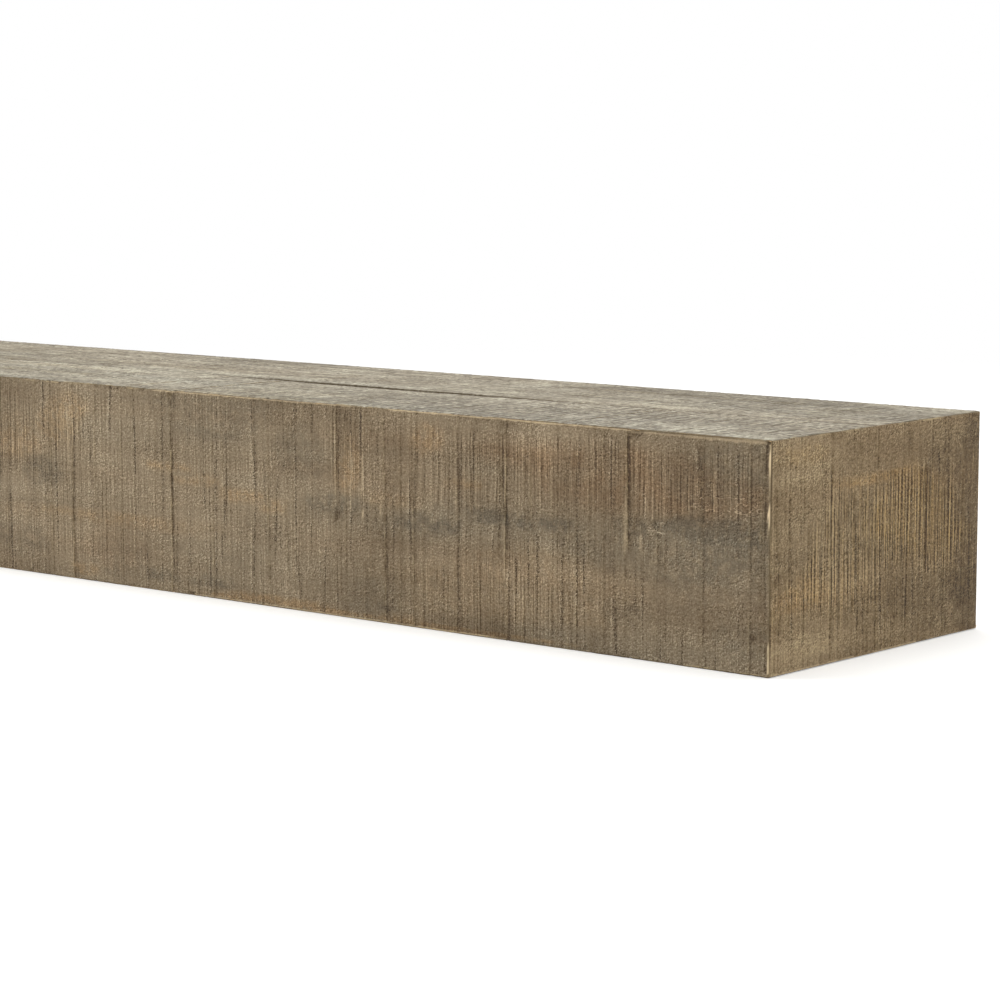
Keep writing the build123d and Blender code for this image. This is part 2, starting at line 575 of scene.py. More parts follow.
def sawnSurface(board, length, width):
    saw = board["saw"]
    marks = sawMarks(board, length, random.Random(board["seed"]))
    places = [mark["place"] for mark in marks]
    strongMarks = [mark for mark in marks if mark["strong"]]
    strongPlaces = [mark["place"] for mark in strongMarks]
    reach = 6 * mm
    shift = board["seed"] * 7.3

    def pulled(x, y):
        # draws the mesh's columns in towards a strong mark, so that its ledge comes out sharp
        grip = 3 * board["mesh"]["columnPitch"]
        first = bisect.bisect_left(strongPlaces, x - grip - mm)
        for mark in strongMarks[first:bisect.bisect_right(strongPlaces, x + grip + mm)]:
            off = x - markLine(mark, y)
            if abs(off) < grip:
                return x - off + math.copysign(abs(off) ** 1.6 / grip ** 0.6, off)
        return x

    def depthAt(x, y):
        # how far the face lies below the outermost sawn level, and how much painted shadow and painted
        # highlight lie there
        softness = 0.5 + 0.9 * noiseAt(x * 7, y * 38 + shift, shift)
        level, groove, dark, lit = 0.0, 0.0, 0.0, 0.0
        near = marks[bisect.bisect_left(places, x - 4 * saw["pitch"]):bisect.bisect_right(places, x + reach)]
        for mark in near:
            off = x - markLine(mark, y)
            if off >= 0:
                level = mark["lift"] + mark["rise"] * math.exp(-off / saw["pitch"])
            if off > reach or off < -3 * mark["width"]:
                continue
            fade = noiseAt(y * 16, mark["seed"], 5)
            fade += 0.5 * noiseAt(y * 75, mark["seed"], 7)
            if mark["strong"]:
                start, end = mark["strong"]
                inside = min((width / 2 - y) / mm - start, end - (width / 2 - y) / mm)
                fade = clamp(0.95 + 0.9 * fade, 0.4) * (0.1 + 0.9 * smooth(inside / 16 + 0.5))
            else:
                fade = clamp(0.6 + fade)
            beyond = off / mark["width"]
            share = mark["deep"] / saw["strongDepth"] * fade
            if beyond > 0:
                groove = max(groove, mark["deep"] * fade * math.exp(-0.8 * beyond))
                core = 1.2 * mm + 1.6 * mark["deep"]
                # painted shadow past the step, on the side away from the light
                shadow = 0.75 * smooth(1.5 - off / core) + 0.25 * smooth(1.3 - off / (5 * mm))
                dark = max(dark, share * shadow)
            else:
                # painted highlight on the proud edge just before the step
                lit = max(lit, share * smooth(1 + off / saw["litWidth"]))
        broad = saw["broad"] * (0.5 + noiseAt(x * 11, y * 6, shift + 3))
        rough = saw["rough"] * noiseAt(x * 420, y * 150, shift + 9)
        depth = level * clamp(0.4 + softness) + broad + rough + groove * clamp(0.45 + softness, 0.35, 1.2)
        return max(0.0, depth), dark, lit

    return pulled, depthAt


def chipped(chips, x, y):
    # small torn hollows: each a place along and across, a length, a height and a depth, in millimetres
    deepest = 0.0
    for alongPlace, acrossPlace, length, height, deep in chips:
        dx = (x - alongPlace * mm) / (length / 2 * mm)
        dy = (y - acrossPlace * mm) / (height / 2 * mm)
        if abs(dx) < 1.5 and abs(dy) < 1.5:
            ragged = 1 + 0.35 * noiseAt(x * 600, y * 600, 2)
            deepest = max(deepest, deep * mm * smooth(1.25 * ragged - math.hypot(dx, dy)))
    return deepest


def slivers(board, x, y):
    # thin raised splinters, rubbed pale: place along, start and end across, width, how pale
    palest = 0.0
    for place, start, end, width, strength in board["slivers"]:
        if start * mm < y < end * mm:
            off = abs(x - place * mm - 0.8 * mm * noiseAt(y * 60, place, 0))
            ends = smooth(min(y - start * mm, end * mm - y) / (5 * mm))
            beaded = clamp(0.7 + 1.2 * noiseAt(y * 170, place, 3))
            palest = max(palest, strength * beaded * ends * smooth(1.5 - off / (width / 2 * mm)))
    return palest


def nicks(seed, start, end, edge, count):
    # small dents along an arris
    draw = random.Random(seed).uniform
    return [
        (draw(start, end), edge + draw(-0.6, 0.8), draw(2, 8), draw(1.5, 4), draw(0.25, 0.7))
        for i in range(count)
    ]


def scattered(seed, kinds, area, count, start=0):
    # patches strewn by chance, for what the camera hardly sees
    rng = random.Random(seed)
    draw = rng.uniform
    length, width = area
    return [
        (rng.choice(kinds), draw(start, length), draw(0, width), draw(60, 260), draw(6, 22), draw(0.15, 0.6))
        for i in range(count)
    ]


def allPatches(board):
    placed = [(kind, *patch) for kind, patches in board["patches"].items() for patch in patches]
    return placed + scattered(**board["scatter"]) if board["scatter"] else placed


def painted(patches, x, y, shift):
    # how much of each tint the patches give at a distance from the board's right-hand far corner
    sums = {"charcoal": 0.0, "warm": 0.0, "pale": 0.0, "red": 0.0, "ribbed": 0.0, "cracked": 0.0}
    for kind, alongPlace, acrossPlace, length, height, strength in patches:
        dx = (x - alongPlace * mm) / (length / 2 * mm)
        dy = (y - acrossPlace * mm) / (height / 2 * mm)
        if abs(dx) > 2 or abs(dy) > 2.2:
            continue
        dy += 0.7 * noiseAt(x * 16, alongPlace * 0.31, shift)
        dx += 0.5 * noiseAt(y * 60, alongPlace * 0.17, shift)
        sums[kind] += strength * smooth((1.35 - math.hypot(dx, dy)) / 0.6)
    return tuple(sums.values())


# Arrises: how each side of a board is cut and how far it was sanded
mitredArris = {
    "mitred": True,
    "radius": 1.5 * mm,
    "easeWidth": 3.0 * mm,  # the sandpaper's wide, shallow bevel beside the rounded arris
    "easeDepth": 0.34 * mm,
    "wornWidth": 1.3 * mm,
    "glueGap": 0.3 * mm,
    "seam": 1.0,  # darkness of the glue line, with painted shade of the gap between the mitred boards
    "seamWidth": 0.4 * mm,
    "wearAndHighlight": 1.0,
}
wallEdge = {**mitredArris, "mitred": False, "radius": 2.0 * mm, "glueGap": 0.0, "seam": 0.0, "wearAndHighlight": 0.5}
glueEdge = {
    **wallEdge,
    "radius": 0.4 * mm,
    "easeWidth": 1.2 * mm,
    "easeDepth": 0.2 * mm,
    "seam": 0.7,
    "seamWidth": 2.4 * mm,
    "wearAndHighlight": 0.0,
}


def sidesWith(**others):
    return {**dict.fromkeys(("left", "right", "near", "far"), mitredArris), **others}


sideWays = {"left": (-1, 0), "right": (1, 0), "near": (0, -1), "far": (0, 1)}
edgeRows = [0.5 * mm, 1.0 * mm, 1.5 * mm, 2.1 * mm, 2.8 * mm, 3.7 * mm, 5.0 * mm]
crowdWidth = edgeRows[-1]


def roundOver(distance, radius):
    # how far a quarter-round arris has dropped at a distance from the corner
    if distance >= radius:
        return 0.0
    return radius - math.sqrt(max(0.0, radius ** 2 - (radius - distance) ** 2))


def sanded(distance, side, uneven=1.0):
    eased = side["easeDepth"] * uneven * clamp(1 - distance / (side["easeWidth"] * uneven)) ** 1.6
    return max(roundOver(distance, side["radius"]), eased)


def opened(joint, x):
    # how far a board's edge stands back where its glue line has opened
    if not joint:
        return 0.0
    off = (x - joint["middle"]) / (joint["length"] / 2)
    return joint["width"] * max(0.0, 1 - off ** 4)


# Making a board: it is cut, mitred and worked face up on the bench, then turned into its place
def benchLimits(board):
    along, across = Vector(board["along"]), Vector(board["across"])
    out = along.cross(across)
    nodeLow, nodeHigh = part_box(board["node"])

    def span(axis, lowSide, highSide):
        node = sorted((nodeLow.dot(axis), nodeHigh.dot(axis)))
        shelf = sorted((shelfLow.dot(axis), shelfHigh.dot(axis)))
        low = shelf[0] if board["sides"][lowSide]["mitred"] else node[0]
        high = shelf[1] if board["sides"][highSide]["mitred"] else node[1]
        return low, high

    left, right = span(along, "left", "right")
    near, far = span(across, "near", "far")
    face = max(nodeLow.dot(out), nodeHigh.dot(out))
    thickness = abs((nodeHigh - nodeLow).dot(out))
    centre = along * (left + right) / 2 + across * (near + far) / 2 + out * face
    turn = Matrix((along, across, out)).transposed().to_4x4()
    return right - left, far - near, thickness, Matrix.Translation(centre) @ turn


def sawOff(bm, point, way):
    # one straight cut: what lies beyond it goes, and the sawn face closes
    geometry = bm.verts[:] + bm.edges[:] + bm.faces[:]
    bmesh.ops.bisect_plane(
        bm, geom=geometry, dist=cutTolerance, plane_co=point, plane_no=way, clear_outer=True
    )
    bmesh.ops.holes_fill(bm, edges=[e for e in bm.edges if e.is_boundary], sides=0)


def sawMitre(bm, side, length, width):
    # at 45 degrees, from the edge of the outer face down and inwards
    x, y = sideWays[side]
    sawOff(bm, (x * length / 2, y * width / 2, 0), (x, y, -1))


def outerFaces(bm):
    return [f for f in bm.faces if f.normal.z > 0.99]


def cutAcross(bm, faces, place, way):
    # a straight line across some faces, square to the given way
    geometry = faces + list({e for f in faces for e in f.edges}) + list({v for f in faces for v in f.verts})
    bmesh.ops.bisect_plane(bm, geom=geometry, dist=cutTolerance, plane_co=place, plane_no=way)


def rowPlaces(width, rowPitch):
    # lines across the face: crowded at both arrises, evenly spaced between them
    inner = width / 2 - crowdWidth
    count = max(2, round(2 * inner / rowPitch))
    middle = [-inner + 2 * inner * i / count for i in range(1, count)]
    sides = [width / 2 - distance for distance in edgeRows]
    return sorted([-place for place in sides] + middle + sides)


def layOutBoard(board, length, width, thickness):
    # the board's blank with all its cuts, and the lines that the sawn face needs
    mesh = board["mesh"]
    bm = bmesh.new()
    blank = Matrix.Translation((0, 0, -thickness / 2)) @ Matrix.Diagonal((length, width, thickness, 1))
    bmesh.ops.create_cube(bm, size=1.0, matrix=blank)
    for side, look in board["sides"].items():
        if look["mitred"]:
            sawMitre(bm, side, length, width)
    bmesh.ops.recalc_face_normals(bm, faces=bm.faces)
    for row in rowPlaces(width, mesh["rowPitch"]):
        cutAcross(bm, outerFaces(bm), (0, row, 0), (0, 1, 0))
    for row in range(1, mesh["innerRows"]):
        inner = [f for f in bm.faces if f.normal.z < -0.99]
        cutAcross(bm, inner, (0, width * (row / mesh["innerRows"] - 0.5), 0), (0, 1, 0))
    joint = board.get("joint")
    if joint:
        for depth in (joint["depth"], joint["depth"] - 0.5 * mm):
            edgeFace = [f for f in bm.faces if f.normal.y < -0.99]
            cutAcross(bm, edgeFace, (0, 0, -depth), (0, 0, 1))
    longEdges = [e for e in bm.edges if abs((e.verts[0].co - e.verts[1].co).normalized().x) > 0.99]
    bmesh.ops.subdivide_edges(bm, edges=longEdges, cuts=round(length / mesh["columnPitch"]) - 1)
    bm.normal_update()
    return bm


def gluedAt(board, name, along, distance, dirt):
    # how much darker the face is along stretches of a side: at the glue lines, and beside the opened joint
    # of the top
    darkest = 0.0
    for place, start, end, glueWidth, strength in board["glue"]:
        if place == name and start * mm < along < end * mm:
            shown = strength * (0.5 + 0.5 * dirt)
            darkest = max(darkest, shown * smooth(1.6 - distance / (glueWidth * mm)))
    return darkest


def rubbedAt(board, name, along, distance, shift):
    # how bare the face is where an arris was rubbed through, and how dark the rim of that stretch is
    bare, rim = 0.0, 0.0
    for place, start, end, bareWidth, strength in board["rubbed"]:
        inside = min(along - start * mm, end * mm - along)
        if place == name and inside > 0:
            strength *= smooth(inside / (1.5 * mm))
            ragged = 0.7 * mm * noiseAt(along * 260, shift, 8)
            bare = max(bare, strength * smooth((bareWidth * mm + ragged - distance) / (0.7 * mm)))
            flank = abs(distance - (bareWidth + 1.4) * mm)
            rim = max(rim, 1.1 * max(0, 2 * strength - 1) * smooth(1.6 - flank / mm))
    return bare, rim


def workFace(bm, board, length, width):
    # sinks the saw marks, sands the arrises, opens the glue lines, and notes each on the face for the
    # finish, with the painted shadow and highlight of the saw steps and painted shade in the chips
    sawingAndPaintedLight = bm.verts.layers.float_color.new("sawingAndPaintedLight")
    stain = bm.verts.layers.float_color.new("stain")
    ribbed = bm.verts.layers.float.new("ribbed")
    cracked = bm.verts.layers.float.new("cracked")
    pulled, depthAt = sawnSurface(board, length, width)
    joint = board.get("joint")
    patches = allPatches(board)
    shift = board["seed"] * 3.7
    outerVerts = list({v for f in outerFaces(bm) for v in f.verts})
    if joint:
        for v in bm.verts:
            if abs(v.co.y + width / 2) < onArris and 0.2 * mm - joint["depth"] < v.co.z < -0.1 * mm:
                v.co.y += opened(joint, v.co.x)
    for v in outerVerts:
        x, y = v.co.x, v.co.y
        if length / 2 - abs(x) > 2 * crowdWidth:
            x = v.co.x = pulled(x, y)
        fromRight, fromFar = length / 2 - x, width / 2 - y
        depth, dark, lit = depthAt(x, y)
        torn = chipped(board["chips"], fromRight, fromFar)
        depth += torn
        # painted shade inside the torn hollows
        dark = clamp(max(dark, torn / (0.8 * mm)))
        if board.get("dip"):
            depth += dipped(board["dip"], x, fromFar)
        # the painted highlight of the saw steps' proud edges starts the arris wear channel
        drop, wearAndHighlight, seam, bare = depth, 0.5 * lit, 0.0, slivers(board, fromRight, fromFar)
        for name, side in board["sides"].items():
            wayX, wayY = sideWays[name]
            distance = length / 2 - wayX * x if wayX else width / 2 - wayY * y
            if distance > crowdWidth - onArris:
                continue
            atEdge = distance < onArris
            if side["mitred"]:
                back = max(depth, sanded(0.4 * mm, side))
                if atEdge:
                    back += side["glueGap"] * clamp(0.6 + 1.2 * noiseAt(x * 30, y * 30, shift))
                    drop = max(drop, back)
            else:
                back = opened(joint, x) if name == "near" else 0.0
            moved = back + distance * (crowdWidth - back) / crowdWidth
            if wayX:
                v.co.x = wayX * (length / 2 - moved)
            else:
                v.co.y = wayY * (width / 2 - moved)
            uneven = 0.8 + 0.7 * noiseAt(x * 55, y * 55, shift + 6)
            arris = sanded(moved if side["mitred"] else distance, side, uneven)
            if arris > depth - 0.04 * mm:
                wearAndHighlight = max(wearAndHighlight, side["wearAndHighlight"] * smooth(1.25 - distance / (side["wornWidth"] * uneven)))
            along = fromFar if wayX else fromRight
            dirt = clamp(0.75 + 1.1 * noiseAt(along * 25, shift, 4))
            seam = max(seam, side["seam"] * dirt * smooth(1 - distance / side["seamWidth"]))
            seam = max(seam, gluedAt(board, name, along, distance, dirt))
            drop = max(drop, arris)
            rubbed, rim = rubbedAt(board, name, along, distance, shift)
            bare, dark = max(bare, rubbed), max(dark, rim)
        v.co.z = -drop
        v[sawingAndPaintedLight] = (dark, wearAndHighlight, seam, bare)
        *v[stain], v[ribbed], v[cracked] = painted(patches, fromRight, fromFar, shift)


def dipped(dip, x, distance):
    # a board that has sunk a little beside the open joint
    off = (x - dip["middle"]) / (dip["length"] / 2)
    return dip["depth"] * max(0.0, 1 - off * off) * math.exp(-(distance / dip["width"]) ** 2)


def makeBoard(board):
    length, width, thickness, place = benchLimits(board)
    bm = layOutBoard(board, length, width, thickness)
    workFace(bm, board, length, width)
    for f in bm.faces:
        f.smooth = True
        f.material_index = 1 if f.normal.z < -0.3 else 0
    bmesh.ops.transform(bm, matrix=place, verts=bm.verts)
    bm.normal_update()
    for e in bm.edges:
        e.smooth = len(e.link_faces) == 2 and e.calc_face_angle(0) < math.radians(softAngle)
    triangles = sum(len(f.verts) - 2 for f in bm.faces)
    piece = offTheBench(bm, board["name"])
    board["out"] = Vector(board["along"]).cross(Vector(board["across"]))
    board["offset"] = (board["seed"] * 0.37, board["seed"] * 0.11, 0)
    piece.data.materials.append(stainedPine(board))
    piece.data.materials.append(barePine(board, bareLook))
    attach(piece, "root")
    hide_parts(board["node"])
    print(board["name"] + ":", triangles, "triangles")


def woodTones(*colours):
    # colours from the darkest tone to the lightest
    return [(place, tint(*colour)) for place, colour in zip((0.05, 0.32, 0.50, 0.68, 0.95), colours)]


stainFront = {
    "tones": woodTones((60, 44, 26), (98, 82, 59), (123, 107, 84), (143, 127, 102), (190, 174, 146)),
    # each layer of fibre: how many to the metre along and across, detail, roughness, and share of the tone
    "layers": {
        "bands": (2.6, 48, 4, 0.55, 0.32),
        "blotches": (5, 13, 4, 0.55, 0.34),
        "swells": (30, 5, 3, 0.55, 0.22),
        "strokes": (280, 30, 3, 0.55, 0.20),
        "grit": (360, 640, 2, 0.55, 0.25),
        "fuzz": (980, 780, 3, 0.7, 0.85),
    },
    # how much painted light and shade the sides of the fuzz and the grit get
    "lean": 1.2,
    "gritSideShade": 0.75,
    "stipple": (850, 1150, 0.2),  # crumbs to the metre along and across, and how they differ
    "frayed": (0.35, 1.65),
    "waver": 1.5 * mm,
    "waverSize": (45, 85, 3, 0.65),
    "nudge": (0.45 * mm, -0.35 * mm, 0),  # offset that sets which side of each fibre gets painted light and which painted shade
    "nap": 1.3,
    "cuts": {
        "along": 105,
        "across": 4.5,
        "facing": (0.5 * mm, 0, 0),
        "width": 0.036,
        "ragged": 0.4,
        "step": 0.75,
        "lip": 0.3,
    },
    "ribs": {"along": 110, "across": 7, "wander": 9.0, "strength": 0.2, "hand": 0.5},
    "scores": {"along": 380, "across": 9, "least": 0.14, "most": 0.65, "hand": 0.7, "relief": 1.4},
    # gap and lip: the level of the noise that each follows, its width there, and what it adds to the tone
    "cracks": {"size": (38, 105, 3, 0.6), "gap": (0, 0.012, -0.3), "lip": (0.022, 0.016, 0.5)},
    "crestHighlight": 0.18,
    "furrowShade": 0.3,
    "goldHighlightShare": 0.14,
    # colour of the painted highlight on the crests
    "goldHighlightColour": tint(172, 148, 112),
    # how much the painted shadow of the saw steps and chips darkens the tone
    "groove": 0.42,
    "pale": 0.25,
    "drift": (2.3, 26, 3),  # size of the slow change between reddish and grey wood
    # how each stain changes the red, green and blue under it
    "red": (0.98, 0.84, 0.73, 1),
    "redness": 0.35,
    "grey": (0.72, 0.80, 0.90, 1),
    "greyness": 0.35,
    "charcoal": (0.58, 0.60, 0.62, 1),
    "warm": (1.24, 1.10, 0.92, 1),
    "speck": tint(205, 190, 160),
    "speckSize": (620, 800, 1.5),
    "specks": 0.35,
    # colour of worn arrises, and of the painted highlight on the saw steps' proud edges
    "arris": tint(188, 168, 128),
    "bare": tint(232, 208, 168),
    # colour of the glue line and of the painted shade in the joint gaps
    "glueAndGapShade": tint(72, 58, 36),
    "strokeRelief": 0.6,
    "cutRelief": 0.4,
    "relief": 0.9 * mm,
    "bump": 0.8,
    "roughness": (0.74 - 0.08, 0.74 + 0.1),
    "specular": 0.3,
}

stains = ("charcoal", "warm", "pale")

frontBoard = {
    "name": "frontBoard",
    "node": "front_board",
    "along": (1, 0, 0),
    "across": (0, 0, 1),
    "seed": 11,
    "sides": sidesWith(),
    "mesh": {"columnPitch": 0.9 * mm, "rowPitch": 4.3 * mm, "innerRows": 3},
    "saw": {
        "pitch": 5.8 * mm,
        "depth": 0.34 * mm,
        "width": 0.85 * mm,
        "lean": 0.006,
        "lift": 0.08 * mm,
        "rise": 0.22 * mm,
        "litWidth": 1.6 * mm,
        "broad": 0.12 * mm,
        "rough": 0.05 * mm,
        # the deepest marks: millimetres from the right-hand end, strength, start and end below the top
        "strong": [
            (83, 0.4, 50, 160), (105, 1.0, -20, 72), (180.5, 0.4, -20, 55), (201, 0.75, -20, 92),
            (278, 0.5, 30, 150), (302, 1.1, 45, 160), (303, 0.45, -20, 50), (345, 0.45, -20, 60),
            (407, 0.5, 60, 160), (500.5, 0.9, -20, 160), (601, 0.7, 45, 160), (623, 0.5, -20, 55),
        ],
        "strongDepth": 0.62 * mm,
    },
    "finish": stainFront,
    # patches, in millimetres: from the right-hand end, down from the top, length, height, and how strong;
    # ribbed below nought is where the saw ran quietly
    "patches": {
        "charcoal": [
            (34, 56, 80, 11, 0.98), (92, 60, 40, 7, 0.45), (185, 62, 84, 10, 0.78),
            (262, 73, 56, 12, 0.65), (345, 64, 56, 14, 0.65), (376, 36, 46, 38, 0.39),
            (106, 112, 36, 13, 0.52), (18, 118, 40, 20, 0.39), (308, 122, 60, 28, 0.26),
            (250, 130, 190, 7, 0.26), (24, 42, 80, 76, 0.38), (40, 92, 110, 40, 0.22),
            (460, 128, 50, 7, 0.65), (511, 128, 40, 8, 0.65), (556, 116, 56, 26, 0.33),
            (632, 67, 40, 20, 0.65), (660, 116, 60, 22, 0.45), (70, 70, 420, 200, 0.08),
            (450, 10, 120, 30, 0.42), (90, 78, 130, 26, 0.3), (230, 62, 60, 22, 0.3),
            (90, 62, 90, 16, 0.15), (450, 96, 130, 30, 0.2),
        ],
        "warm": [
            (334, 44, 22, 34, 0.55), (268, 20, 26, 18, 0.56), (300, 60, 50, 10, 0.31),
            (200, 102, 200, 50, 0.25), (234, 44, 30, 7, 0.62), (505, 54, 46, 7, 0.62),
            (470, 60, 46, 7, 0.56), (432, 67, 44, 7, 0.69), (404, 72, 28, 7, 0.56),
            (612, 24, 44, 34, 0.56), (664, 40, 50, 30, 0.44), (560, 93, 280, 5, 0.5),
            (410, 136, 130, 5, 1.0), (592, 132, 30, 8, 0.62), (270, 137, 190, 3.5, 0.88),
        ],
        "red": [(104, 31, 190, 38, 0.85), (300, 26, 120, 26, 0.2), (560, 112, 60, 28, 0.3)],
        "pale": [
            (60, 128, 130, 24, 0.3), (170, 10, 70, 20, 0.6), (520, 70, 320, 150, 0.38),
            (250, 106, 120, 50, 0.35), (96, 8, 50, 24, 0.3), (270, 12, 100, 26, 0.3),
            (610, 12, 60, 26, 0.3), (165, 106, 80, 60, 0.25), (420, 66, 60, 26, 0.15),
            (545, 60, 60, 30, 0.15), (470, 132, 380, 24, 0.3), (462, 98, 60, 34, 0.15),
            (590, 44, 70, 50, 0.15),
        ],
        "ribbed": [
            (124, 32, 190, 42, 0.8), (236, 36, 60, 50, 0.6), (332, 42, 50, 60, 0.8),
            (655, 36, 90, 50, 0.9), (210, 110, 100, 40, 0.3), (545, 76, 60, 50, 0.4),
            (160, 3, 340, 12, -0.9), (36, 58, 90, 16, -0.9), (36, 104, 100, 64, -0.5),
            (186, 62, 90, 12, -0.6), (376, 40, 50, 50, -0.4), (440, 28, 70, 46, -0.4),
        ],
        "cracked": [
            (28, 42, 56, 16, 1.0), (84, 60, 12, 16, 1.0), (60, 53, 30, 6, 0.7), (310, 104, 60, 8, 0.6),
        ],
    },
    "scatter": {"seed": 13, "kinds": stains, "area": (1524, 140), "count": 34, "start": 720},
    # raised splinters: from the right-hand end, start and end below the top, width, how pale
    "slivers": [
        (346, 10, 66, 1.0, 0.15), (332, 16, 72, 1.1, 0.42), (337.5, 20, 60, 1.0, 0.3),
        (322.5, 30, 62, 1.1, 0.25), (322, 66, 76, 1.8, 0.6), (306, 62, 72, 1.6, 0.45),
        (202.5, 60, 106, 1.1, 0.3), (106.5, 40, 78, 1.3, 0.4), (95, 60, 74, 1.2, 0.35),
        (605, 16, 62, 1.0, 0.3),
    ],
    # torn hollows: from the right-hand end, down from the top, length, height, depth
    "chips": [
        *nicks(3, 110, 760, 0.6, 46),
        *nicks(5, 20, 700, 139.0, 14),
        (1.0, 1.2, 6, 3.6, 1.2), (99, 2.0, 12, 7.0, 0.9), (201, 58, 5, 12, 0.6), (204, 40, 4, 20, 0.5),
        (302, 70, 5, 14, 0.6), (345, 73, 6, 10, 0.6), (306, 80, 4, 18, 0.5), (300.5, 90, 5, 14, 0.5),
        (302.5, 102, 5, 14, 0.5), (300, 112, 5, 14, 0.5), (302, 122, 5, 14, 0.5), (300.5, 132, 6, 14, 0.5),
        (500, 3, 7, 6, 1.0), (500.5, 62, 4, 12, 0.5), (499.5, 92, 5, 14, 0.5), (407, 118, 5, 14, 0.6),
        (600, 100, 4, 14, 0.4), (99, 57, 4, 12, 0.5), (12, 118, 5, 9, 0.5),
    ],
    # bare wood where an arris was rubbed through: side, start and end along it, width, how bare
    "rubbed": [
        ("right", 1.5, 23, 1.5, 1.0), ("right", 22, 36, 1.2, 0.4), ("right", 35, 53, 2.2, 0.9),
        ("right", 52, 118, 1.5, 0.15), ("right", 117, 138, 1.6, 0.9), ("far", 2, 60, 2.9, 0.24),
        ("far", 58, 104, 2.5, 0.2), ("far", 102, 220, 1.5, 0.36), ("far", 218, 300, 1.3, 0.42),
        ("far", 330, 520, 1.3, 0.36), ("near", 200, 480, 1.4, 0.4),
    ],
    # stretches where the glue line shows wide: side, start and end, width, how dark
    "glue": [("right", 0, 22, 0.5, 0.5), ("right", 53, 118, 0.7, 0.8), ("far", 0, 100, 0.8, 0.8)],
}
makeBoard(frontBoard)

# the top's stain, greyer and a little lighter than the front's: painted sheen of the light grazing across
# the top
stainAndSheenTop = {
    **stainFront,
    "tones": woodTones((78, 68, 50), (112, 103, 85), (132, 123, 107), (149, 142, 123), (184, 177, 156)),
    "layers": {
        "bands": (2.4, 60, 4, 0.55, 0.3),
        "blotches": (6, 20, 4, 0.55, 0.34),
        "strokes": (190, 30, 3, 0.55, 0.5),
        "streaks": (40, 90, 3, 0.55, 0.65),
        "grit": (560, 520, 2, 0.55, 0.6),
        "fuzz": (330, 240, 3, 0.7, 1.1),
    },
    "lean": 1.2,
    "gritSideShade": 0.5,
    "stipple": (420, 330, 0.42),
    "waver": 2.0 * mm,
    "nudge": (1.4 * mm, -1.0 * mm, 0),
    "speckSize": (180, 70, 1.5),
    "specks": 0.25,
    "scores": {"along": 300, "across": 34, "least": 0.15, "most": 0.75, "hand": 0.4, "relief": 1.6},
    "cuts": {
        "along": 26,
        "across": 90,
        "facing": (0, 0.7 * mm, 0),
        "width": 0.045,
        "ragged": 0.25,
        "step": 0.7,
        "lip": 0.2,
    },
    "crestHighlight": 0.24,
    "furrowShade": 0.36,
    "goldHighlightShare": 0.3,
    "goldHighlightColour": tint(172, 168, 158),
    "red": (1.10, 1.02, 0.95, 1),
    "grey": (0.88, 0.96, 1.05, 1),
    "charcoal": (0.70, 0.69, 0.67, 1),
    "warm": (1.14, 1.10, 0.96, 1),
    "speck": tint(200, 195, 180),
}

topSaw = {**frontBoard["saw"], "depth": 0.34 * mm, "strongDepth": 0.55 * mm, "rough": 0.16 * mm}

# for boards that take over none of the front's listed marks
unmarked = {"patches": {}, "scatter": None, "slivers": [], "chips": [], "rubbed": [], "glue": []}

topFrontBoard = {
    **frontBoard,
    **unmarked,
    "name": "topFrontBoard",
    "node": "top_front_board",
    "across": (0, 1, 0),
    "seed": 23,
    "sides": sidesWith(far=glueEdge),
    "mesh": {"columnPitch": 1.0 * mm, "rowPitch": 4 * mm, "innerRows": 2},
    "saw": {
        **topSaw,
        "strong": [
            (45, 0.5, 0, 108), (160, 0.6, 0, 108), (240, 0.4, 0, 108), (395, 0.5, 0, 108),
            (497, 1.1, 0, 120),
        ],
    },
    "finish": stainAndSheenTop,
    # here the distances across are from the glue line towards the front
    "patches": {
        "charcoal": [
            (80, 30, 160, 15, 0.5), (110, 52, 200, 5, 0.5), (230, 99, 260, 12, 0.55),
            (300, 94, 330, 32, 0.75), (130, 52, 190, 40, 0.6), (300, 44, 180, 34, 0.55),
            (360, 40, 130, 40, 0.35), (382, 85, 14, 18, 0.5), (560, 92, 90, 10, 0.3),
        ],
        "warm": [(430, 100, 180, 12, 0.6), (440, 62, 110, 60, 0.2)],
        "pale": [
            (610, 10, 130, 30, 0.7), (48, 98, 110, 26, 0.45), (350, 8, 60, 20, 0.4),
            (480, 44, 60, 40, 0.3), (480, 12, 100, 24, 0.4), (76, 66, 78, 46, 0.6), (386, 62, 22, 14, 0.7),
            (560, 56, 110, 70, 0.35), (270, 20, 60, 26, 0.3),
        ],
        "ribbed": [(170, 60, 340, 112, 0.7)],
    },
    "scatter": {"seed": 29, "kinds": stains, "area": (1524, 108), "count": 24, "start": 640},
    "chips": nicks(7, 110, 760, 107.5, 26),
    "glue": [("near", 0, 120, 1.2, 0.75), ("near", 118, 215, 1.0, 0.6), ("far", 232, 484, 1.6, 0.7)],
    "dip": {"middle": 357 * mm, "length": 320 * mm, "width": 14 * mm, "depth": 0.9 * mm},
}
makeBoard(topFrontBoard)

